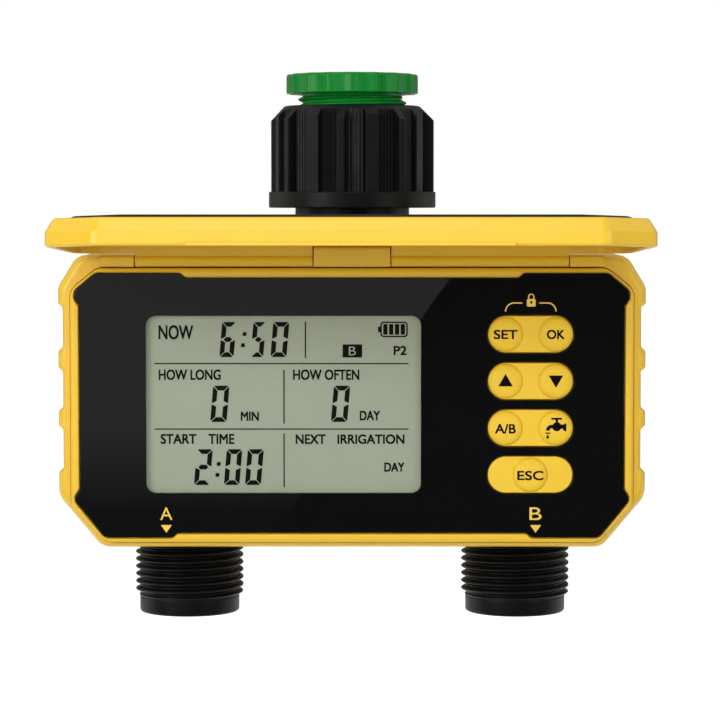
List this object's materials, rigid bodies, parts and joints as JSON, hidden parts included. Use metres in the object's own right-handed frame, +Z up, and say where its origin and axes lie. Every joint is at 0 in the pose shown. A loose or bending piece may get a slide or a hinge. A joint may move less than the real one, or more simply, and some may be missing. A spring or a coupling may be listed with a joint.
{
  "type": "irrigation timer",
  "caption": "Two-outlet tap timer for drip irrigation: a boxy body with a flip-up lid over its display and keys, a swivel tap nut above and threaded outlets below.",
  "frame": {"origin": "centre of the mouth of the tap adapter's female thread, at the object's highest point", "axes": "+Z up along the inlet axis, out of the adapter's mouth; -Y is the side with the display; +X is to the right of someone who reads the display"},
  "size_m": [0.1396, 0.1235, 0.1313],
  "materials": {
    "yellow_abs": "fine satin moulding",
    "yellow_silicone": "soft matt silicone",
    "black_acrylic": "polished sheet",
    "clear_acrylic": "clear polished",
    "lcd_glass": "grey-green display cell",
    "white_plastic": "natural moulding",
    "contact_rubber": "matt",
    "black_nylon": "satin moulding",
    "green_plastic": "smooth moulding",
    "black_rubber": "matt",
    "steel": "plated",
    "circuit_board": "solder resist",
    "gold_pads": "plated",
    "black_chips": "moulded",
    "copper_winding": "enamelled wire",
    "black_tray": "satin moulding",
    "cell_sleeve": "printed sleeve"
  },
  "bodies": {
    "housing": {"rear_shell": "yellow_abs", "front_cover": "yellow_abs", "housing_seal": "black_rubber", "case_screws": "steel", "front_panel": "black_acrylic", "display_window": "clear_acrylic", "lcd_glass": "lcd_glass", "lcd_holder": "white_plastic", "zebra_strips": "contact_rubber", "keypad_mat": "yellow_silicone", "main_board": "circuit_board", "contact_pads": "gold_pads", "board_components": "black_chips", "board_screws": "steel", "hinge_pins": "steel", "nut_retainer": "white_plastic", "nut_washer": "black_rubber", "inlet_filter": "white_plastic", "inlet_spigot": "black_nylon", "spigot_seal": "black_rubber", "manifold": "black_nylon", "outlet_a": "black_nylon", "outlet_b": "black_nylon", "outlet_seals": "black_rubber", "diaphragm_a": "black_rubber", "diaphragm_b": "black_rubber", "bonnet_a": "black_nylon", "bonnet_b": "black_nylon", "bonnet_screws": "steel", "solenoid_coil_a": "copper_winding", "solenoid_coil_b": "copper_winding", "solenoid_yoke_a": "steel", "solenoid_yoke_b": "steel", "plunger_spring_a": "steel", "plunger_spring_b": "steel", "battery_tray": "black_tray", "battery_cells": "cell_sleeve", "battery_contacts": "steel"},
    "lid": {"lid_frame": "yellow_abs", "lid_insert": "black_acrylic"},
    "inlet_nut": {"inlet_nut": "black_nylon"},
    "adapter_washer": {"adapter_washer": "black_rubber"},
    "inlet_adapter": {"inlet_adapter": "green_plastic"},
    "plunger_a": {"plunger_a": "steel"},
    "plunger_b": {"plunger_b": "steel"},
    "battery_cover": {"battery_cover": "yellow_abs", "battery_seal": "black_rubber", "battery_cover_screws": "steel"},
    "button_set": {"button_set": "yellow_silicone"},
    "button_ok": {"button_ok": "yellow_silicone"},
    "button_up": {"button_up": "yellow_silicone"},
    "button_down": {"button_down": "yellow_silicone"},
    "button_zone": {"button_zone": "yellow_silicone"},
    "button_manual": {"button_manual": "yellow_silicone"},
    "button_escape": {"button_escape": "yellow_silicone"}
  },
  "joints": [
    {"name": "lid_hinge", "type": "hinge", "parent": "housing", "child": "lid", "pos_m": [0, -0.024, -0.04485], "axis": [1, 0, 0], "range_deg": [0, 92.5]},
    {"name": "nut_swivel", "type": "hinge", "parent": "housing", "child": "inlet_nut", "pos_m": [0, 0, -0.02], "axis": [0, 0, 1], "continuous": true},
    {"name": "adapter_lift", "type": "slide", "parent": "inlet_nut", "child": "adapter_washer", "axis": [0, 0, 1], "range_m": [0, 0.0102]},
    {"name": "adapter_turn", "type": "hinge", "parent": "adapter_washer", "child": "inlet_adapter", "pos_m": [0, 0, -0.01], "axis": [0, 0, 1], "range_deg": [0, 2026]},
    {"name": "button_set_press", "type": "slide", "parent": "housing", "child": "button_set", "axis": [0, 1, 0], "range_m": [0, 0.0008], "stiffness_N_per_m": 400, "springref_m": -0.0004},
    {"name": "button_ok_press", "type": "slide", "parent": "housing", "child": "button_ok", "axis": [0, 1, 0], "range_m": [0, 0.0008], "stiffness_N_per_m": 400, "springref_m": -0.0004},
    {"name": "button_up_press", "type": "slide", "parent": "housing", "child": "button_up", "axis": [0, 1, 0], "range_m": [0, 0.0008], "stiffness_N_per_m": 400, "springref_m": -0.0004},
    {"name": "button_down_press", "type": "slide", "parent": "housing", "child": "button_down", "axis": [0, 1, 0], "range_m": [0, 0.0008], "stiffness_N_per_m": 400, "springref_m": -0.0004},
    {"name": "button_zone_press", "type": "slide", "parent": "housing", "child": "button_zone", "axis": [0, 1, 0], "range_m": [0, 0.0008], "stiffness_N_per_m": 400, "springref_m": -0.0004},
    {"name": "button_manual_press", "type": "slide", "parent": "housing", "child": "button_manual", "axis": [0, 1, 0], "range_m": [0, 0.0008], "stiffness_N_per_m": 400, "springref_m": -0.0004},
    {"name": "button_escape_press", "type": "slide", "parent": "housing", "child": "button_escape", "axis": [0, 1, 0], "range_m": [0, 0.0008], "stiffness_N_per_m": 400, "springref_m": -0.0004},
    {"name": "plunger_a_slide", "type": "slide", "parent": "housing", "child": "plunger_a", "axis": [0, 0, 1], "range_m": [0, 0.0015], "stiffness_N_per_m": 60, "springref_m": -0.002, "deforming": ["plunger_spring_a"]},
    {"name": "plunger_b_slide", "type": "slide", "parent": "housing", "child": "plunger_b", "axis": [0, 0, 1], "range_m": [0, 0.0015], "stiffness_N_per_m": 60, "springref_m": -0.002, "deforming": ["plunger_spring_b"]},
    {"name": "battery_cover_off", "type": "slide", "parent": "housing", "child": "battery_cover", "axis": [0, 1, 0], "range_m": [0, 0.03]}
  ],
  "couplings": [
    {"joint": "adapter_turn", "follows": "adapter_lift", "rad_per_m": 3463.7}
  ]
}
